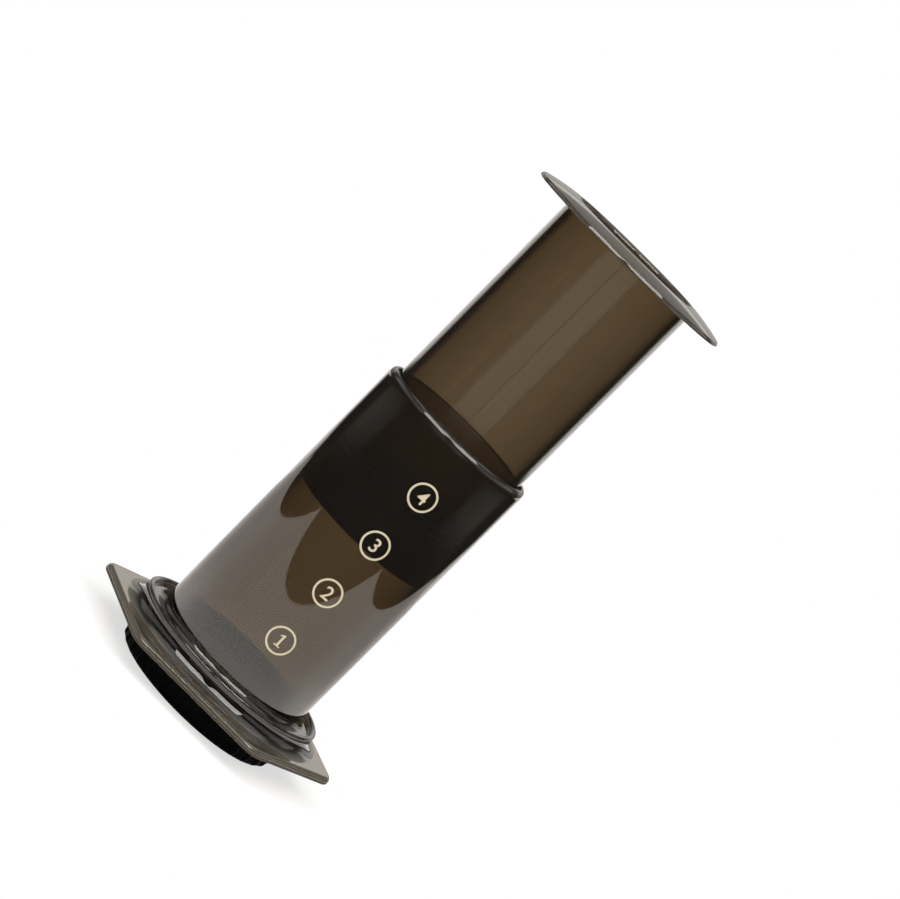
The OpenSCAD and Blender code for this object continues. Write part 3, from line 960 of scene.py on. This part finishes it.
class PRESS_OT_numbers(Operator):
    """Print the circled numbers on the chamber"""

    bl_idname = "press.numbers"
    bl_label = "Printed numbers"

    def execute(self, context):
        s, colours = ready(context)
        art = bmesh.new()
        for k in range(s.mark_count):
            centre = Vector((s.tube_radius * s.mark_turn, s.mark_first + k * s.mark_step, INK_LIFT))
            self.ring(art, centre, s.mark_radius, s.mark_line)
            self.digit(art, str(k + 1), centre, DIGIT_HEIGHT)
        bmesh.ops.recalc_face_normals(art, faces=art.faces)
        flat = mesh_object("number_art", art)
        ink = printed_ink(colours.ink_cream)
        tree, radius = TREES["wrapped"], s.tube_radius
        marks = run_tree(flat, tree, "printed_numbers", tube_radius=radius, material=ink)
        dress(polish(marks), "chamber", "cream_ink")
        return {"FINISHED"}

    @staticmethod
    def ring(art, centre, radius, line, steps=72):
        """A flat ring of ink with a little thickness."""
        inner = radius - line
        corners = ((inner, 0.0), (radius, 0.0), (radius, INK_THICKNESS), (inner, INK_THICKNESS))
        rows = []
        for k in range(steps):
            turn = FULL_TURN * k / steps
            out = Vector((math.cos(turn), math.sin(turn), 0.0))
            spots = [centre + out * reach + Vector((0.0, 0.0, z)) for reach, z in corners]
            rows.append([art.verts.new(spot) for spot in spots])
        for k in range(steps):
            here, there = rows[k - 1], rows[k]
            for c in range(len(corners)):
                art.faces.new((here[c - 1], here[c], there[c], there[c - 1]))

    def digit(self, art, text, centre, height):
        """One digit, as a thin solid cut into small faces so that it can bend."""
        piece = bmesh.new()
        if text == "1":
            self.draw_one(piece, centre, height)
        else:
            self.type_digit(piece, text, centre, height)
        bmesh.ops.remove_doubles(piece, verts=piece.verts, dist=INK_WELD)
        bmesh.ops.triangulate(piece, faces=piece.faces)
        bmesh.ops.subdivide_edges(piece, edges=piece.edges, cuts=DIGIT_CUTS, use_grid_fill=True)
        cut = bpy.data.meshes.new("digit")
        piece.to_mesh(cut)
        piece.free()
        art.from_mesh(cut)
        bpy.data.meshes.remove(cut)

    @staticmethod
    def draw_one(piece, centre, height):
        """A digit 1 with a foot."""
        piece.faces.new([piece.verts.new((x * height, y * height, 0.0)) for x, y in ONE])
        grown = bmesh.ops.extrude_face_region(piece, geom=piece.faces[:])["geom"]
        lifted = [item for item in grown if isinstance(item, bmesh.types.BMVert)]
        bmesh.ops.translate(piece, verts=lifted, vec=(0.0, 0.0, INK_THICKNESS))
        piece.transform(Matrix.Translation(centre))

    @staticmethod
    def type_digit(piece, text, centre, height):
        """A digit in the built-in typeface."""
        curve = bpy.data.curves.new("digit", "FONT")
        curve.body = text
        curve.size = TYPE_SIZE * height
        curve.extrude = INK_THICKNESS / 2.0
        curve.offset = TYPE_WEIGHT
        curve.resolution_u = TYPE_STEPS
        holder = link_object("digit", curve)
        mesh = evaluated_mesh(holder, "digit")
        spots = [vertex.co for vertex in mesh.vertices]
        middle = [(min(c[k] for c in spots) + max(c[k] for c in spots)) / 2.0 for k in range(3)]
        half = Vector((0.0, 0.0, INK_THICKNESS / 2.0))
        mesh.transform(Matrix.Translation(centre + half - Vector(middle)))
        piece.from_mesh(mesh)
        bpy.data.objects.remove(holder)
        bpy.data.curves.remove(curve)
        bpy.data.meshes.remove(mesh)


# Stage

TABLE_WHITE = (0.9, 0.9, 0.9)
# Colour of the painted glow that reflections see on the table
TABLE_PAINTED_GLOW_COLOUR = (1.0, 0.95, 0.90)

# Soft steps of the table's light, by distance from the axis: start, end, value before and value after. The
# fade is the share of plain white. The near step is a painted shadow of the press and the glow is a
# painted pool of light, both seen only in reflections
TABLE_FADE = (0.04, 0.09, 0.65, 1.0)
TABLE_PAINTED_SHADOW = (0.106, 0.122, 0.10, 1.0)
TABLE_PAINTED_GLOW = (0.08, 0.26, 2.7, 1.85)

# The same for the painted glow on the table behind the press, by how far a place lies to the back
TABLE_PAINTED_GLOW_REAR = (0.0, 0.7, 1.0, 0.5)

# Fields of the room, by height as the sine of the angle above the horizon, and by how far back or aside
# they lie. A step is as above. A band is the pair where it sets in, the pair where it ends and its light.
CARD_BACK = ((0.58, 0.68), (0.970, 0.992))
CARD_HEIGHT = ((-0.30, -0.24), (-0.03, 0.01))
CARD_DARK = 0.88
SKIRT_BACK = (0.84, 0.95, 0.0, 1.0)
SKIRT_WIDENING = (-0.160, -0.140, 0.10, 0.0)
SKIRT_HEIGHT = ((-0.20, -0.185), (-0.121, -0.112), 1.25)
LOW_BACK = (0.72, 0.82, 0.0, 1.0)
LOW_HEIGHT = ((-0.121, -0.112), (-0.045, -0.015), 1.25)
HIGH_BACK = (0.75, 0.90, 0.0, 1.0)
HIGH_FIRST = (0.0, 0.03, 0.0, 0.42)
HIGH_SECOND = (0.195, 0.215, 0.0, 0.47)
HIGH_END = (0.24, 0.30, 1.0, 0.28)
PANEL_ASIDE = ((0.012, 0.035), (0.44, 0.52), 0.5)
PANEL_FRONT = (-0.6, -0.5, 1.0, 0.0)
PANEL_HEIGHT = ((-0.125, -0.11), (0.1, 0.2))
FLANK_ASIDE = (0.70, 0.80, 0.0, 1.0)
FLANK_HEIGHT = ((0.18, 0.26), (0.50, 0.60), 0.8)
WALL_BACK = ((-0.40, -0.15), (0.35, 0.60), 0.24)
WALL_HEIGHT = ((-0.158, -0.135), (-0.130, -0.122))
DIM_ABOVE = (0.0, 0.1, 0.04, 0.13)
CEILING = (0.70, 0.80, 0.0, 1.27)
MATT_LIGHT = 0.5
WARM_CUT = (0.0, 0.04, 0.10)

SENSOR_WIDTH = 36.0
CLIP_NEAR, CLIP_FAR = 0.01, 20.0


class PRESS_OT_stage(Operator):
    """Set the table, the lights, the white room and the camera"""

    bl_idname = "press.stage"
    bl_label = "Stage"

    def execute(self, context):
        stage = context.scene.press_stage
        self.table(stage)
        self.room(context.scene)
        for side in (-1.0, 1.0):
            self.softbox(context.scene, stage, side)
        self.camera(context.scene, stage)
        context.scene.view_settings.view_transform = "Standard"
        return {"FINISHED"}

    @staticmethod
    def table(stage):
        """A white table, clear from below. Away from the press it fades into the white room. Reflections
        see a painted pool of light on it, with a painted shadow of the press by its foot.
        """
        wide, front, back = stage.table_half_width, -stage.table_front, stage.table_back
        mesh = bpy.data.meshes.new("table")
        corners = [(-wide, front, 0.0), (wide, front, 0.0), (wide, back, 0.0), (-wide, back, 0.0)]
        mesh.from_pydata(corners, [], [(0, 1, 2, 3)])
        table = link_object("table", mesh)
        material, desk, shader, out = surface("white_table")
        material.cycles.emission_sampling = "NONE"
        desk.tree.nodes.remove(shader)
        matt = desk.make("ShaderNodeBsdfDiffuse", {"Color": (*TABLE_WHITE, 1.0)})
        white = desk.make("ShaderNodeEmission")
        rays = desk.add("ShaderNodeLightPath").outputs
        through = rays["Is Transmission Ray"]
        spot = desk.coordinates()
        x, y, _ = desk.split(spot)
        reach = desk.math("SQRT", desk.total(desk.product(x, x), desk.product(y, y)))
        # Painted light that only reflections see: a pool of light round the press, a painted shadow right
        # by its foot, and less light towards the back
        painted_glow_rear = desk.ramp(desk.facing(spot)[0], *TABLE_PAINTED_GLOW_REAR)
        painted_pool = desk.product(desk.ramp(reach, *TABLE_PAINTED_SHADOW), desk.ramp(reach, *TABLE_PAINTED_GLOW), painted_glow_rear)
        painted_glow = desk.make("ShaderNodeEmission", {"Color": (*TABLE_PAINTED_GLOW_COLOUR, 1.0), "Strength": painted_pool})
        seen = desk.math("MAXIMUM", rays["Is Camera Ray"], through)
        plain = desk.mix(desk.product(seen, desk.ramp(reach, *TABLE_FADE)), matt, white)
        mirrored = desk.product(rays["Is Glossy Ray"], desk.less(1.0, through))
        above, below = desk.mix(mirrored, plain, painted_glow), desk.make("ShaderNodeBsdfTransparent")
        underside = desk.add("ShaderNodeNewGeometry").outputs["Backfacing"]
        desk.feed(out.inputs["Surface"], desk.mix(underside, above, below))
        mesh.materials.append(material)

    @staticmethod
    def room(scene):
        """A white room for the eye. What mirrors it finds a backdrop, front panels, walls and a ceiling.

        Seen through the clear plastic, it has a dark card at each side of the backdrop.
        """
        world = bpy.data.worlds.new("studio_room")
        world.use_nodes = True
        world.cycles.sampling_method = "NONE"
        scene.world = world
        desk = Desk(world.node_tree)
        way = desk.coordinates("Generated")
        back, aside = desk.facing(way)
        height = desk.split(way)[2]
        rays = desk.add("ShaderNodeLightPath").outputs
        camera, through = rays["Is Camera Ray"], rays["Is Transmission Ray"]
        solid = desk.less(1.0, desk.math("MAXIMUM", camera, through))
        glossy = desk.product(solid, rays["Is Glossy Ray"])
        matt = desk.less(solid, glossy)

        card = desk.product(desk.band(back, *CARD_BACK), desk.band(height, *CARD_HEIGHT), CARD_DARK)
        wider = desk.total(back, desk.ramp(height, *SKIRT_WIDENING))
        skirt = desk.product(desk.ramp(wider, *SKIRT_BACK), desk.band(height, *SKIRT_HEIGHT))
        low = desk.product(desk.ramp(back, *LOW_BACK), desk.band(height, *LOW_HEIGHT))
        steps = desk.total(desk.ramp(height, *HIGH_FIRST), desk.ramp(height, *HIGH_SECOND))
        high = desk.product(desk.ramp(back, *HIGH_BACK), steps, desk.ramp(height, *HIGH_END))
        front = desk.ramp(back, *PANEL_FRONT)
        panels = desk.product(desk.band(aside, *PANEL_ASIDE), front, desk.band(height, *PANEL_HEIGHT))
        flanks = desk.product(desk.ramp(aside, *FLANK_ASIDE), desk.band(height, *FLANK_HEIGHT))
        walls = desk.product(desk.band(back, *WALL_BACK), desk.band(height, *WALL_HEIGHT))
        ceiling = desk.total(desk.ramp(height, *DIM_ABOVE), desk.ramp(height, *CEILING))
        mirrored = desk.total(skirt, low, high, panels, flanks, walls, ceiling)

        seen = desk.math("MAXIMUM", camera, desk.product(through, desk.less(1.0, card)))
        light = desk.total(seen, desk.product(glossy, mirrored), desk.product(matt, MATT_LIGHT))
        warm = [desk.less(1.0, desk.product(glossy, cut)) for cut in WARM_CUT]
        sky = desk.tree.nodes["Background"]
        desk.feed(sky.inputs["Strength"], light)
        desk.feed(sky.inputs["Color"], desk.vector(*warm))

    @staticmethod
    def softbox(scene, stage, side):
        """One of two long softboxes above and in front, with a slim gap between them."""
        turn, rise = stage.softbox_turn * side, stage.softbox_rise
        out = Vector((math.sin(turn) * math.cos(rise), -math.cos(turn) * math.cos(rise), math.sin(rise)))
        lamp = bpy.data.lights.new("softbox", "AREA")
        lamp.shape = "RECTANGLE"
        lamp.size = stage.softbox_width
        lamp.size_y = stage.softbox_depth
        lamp.energy = stage.softbox_power
        lamp.color = stage.softbox_colour
        holder = bpy.data.objects.new("softbox", lamp)
        scene.collection.objects.link(holder)
        holder.location = Vector((0.0, 0.0, stage.softbox_aim)) + out * stage.softbox_distance
        holder.rotation_euler = out.to_track_quat("Z", "Y").to_euler()

    @staticmethod
    def camera(scene, stage):
        """A long lens in front of the press, a little above it and rolled to set the press aslant."""
        lens = bpy.data.cameras.new("camera")
        lens.lens = stage.camera_lens
        lens.sensor_width = SENSOR_WIDTH
        lens.clip_start = CLIP_NEAR
        lens.clip_end = CLIP_FAR
        holder = bpy.data.objects.new("camera", lens)
        scene.collection.objects.link(holder)
        target = Vector((stage.camera_side, 0.0, stage.camera_height))
        back = Vector((0.0, -math.cos(stage.camera_pitch), math.sin(stage.camera_pitch)))
        level = back.to_track_quat("Z", "Y").to_matrix().to_4x4()
        roll = Matrix.Rotation(stage.camera_roll, 4, "Z")
        holder.matrix_world = Matrix.Translation(target + back * stage.camera_distance) @ level @ roll
        scene.camera = holder


# Panel and registration

class PRESS_PT_sidebar(Panel):
    """Lists the press's operators, sizes and colours"""

    bl_idname = "PRESS_PT_sidebar"
    bl_label = "Hand Coffee Press"
    bl_space_type = "VIEW_3D"
    bl_region_type = "UI"
    bl_category = "Press"

    def draw(self, context):
        column = self.layout.column()
        for operator in OPERATORS:
            column.operator(operator.bl_idname)
        for group in (context.scene.press_sizes, context.scene.press_colours, context.scene.press_stage):
            for key in group.__annotations__:
                column.prop(group, key)


GROUPS = (PressSizes, PressColours, StageSettings)
OPERATORS = (
    PRESS_OT_chamber,
    PRESS_OT_plunger,
    PRESS_OT_seal,
    PRESS_OT_filter_cap,
    PRESS_OT_paper,
    PRESS_OT_numbers,
    PRESS_OT_stage,
)


def register():
    for item in (*GROUPS, *OPERATORS, PRESS_PT_sidebar):
        bpy.utils.register_class(item)
    bpy.types.Scene.press_sizes = PointerProperty(type=PressSizes)
    bpy.types.Scene.press_colours = PointerProperty(type=PressColours)
    bpy.types.Scene.press_stage = PointerProperty(type=StageSettings)


def unregister():
    del bpy.types.Scene.press_stage
    del bpy.types.Scene.press_colours
    del bpy.types.Scene.press_sizes
    for item in reversed((*GROUPS, *OPERATORS, PRESS_PT_sidebar)):
        bpy.utils.unregister_class(item)


def main():
    register()
    bpy.ops.press.chamber()
    bpy.ops.press.plunger()
    bpy.ops.press.seal()
    bpy.ops.press.filter_cap()
    bpy.ops.press.paper()
    bpy.ops.press.numbers()
    bpy.ops.press.stage()


if __name__ == "__main__":
    main()
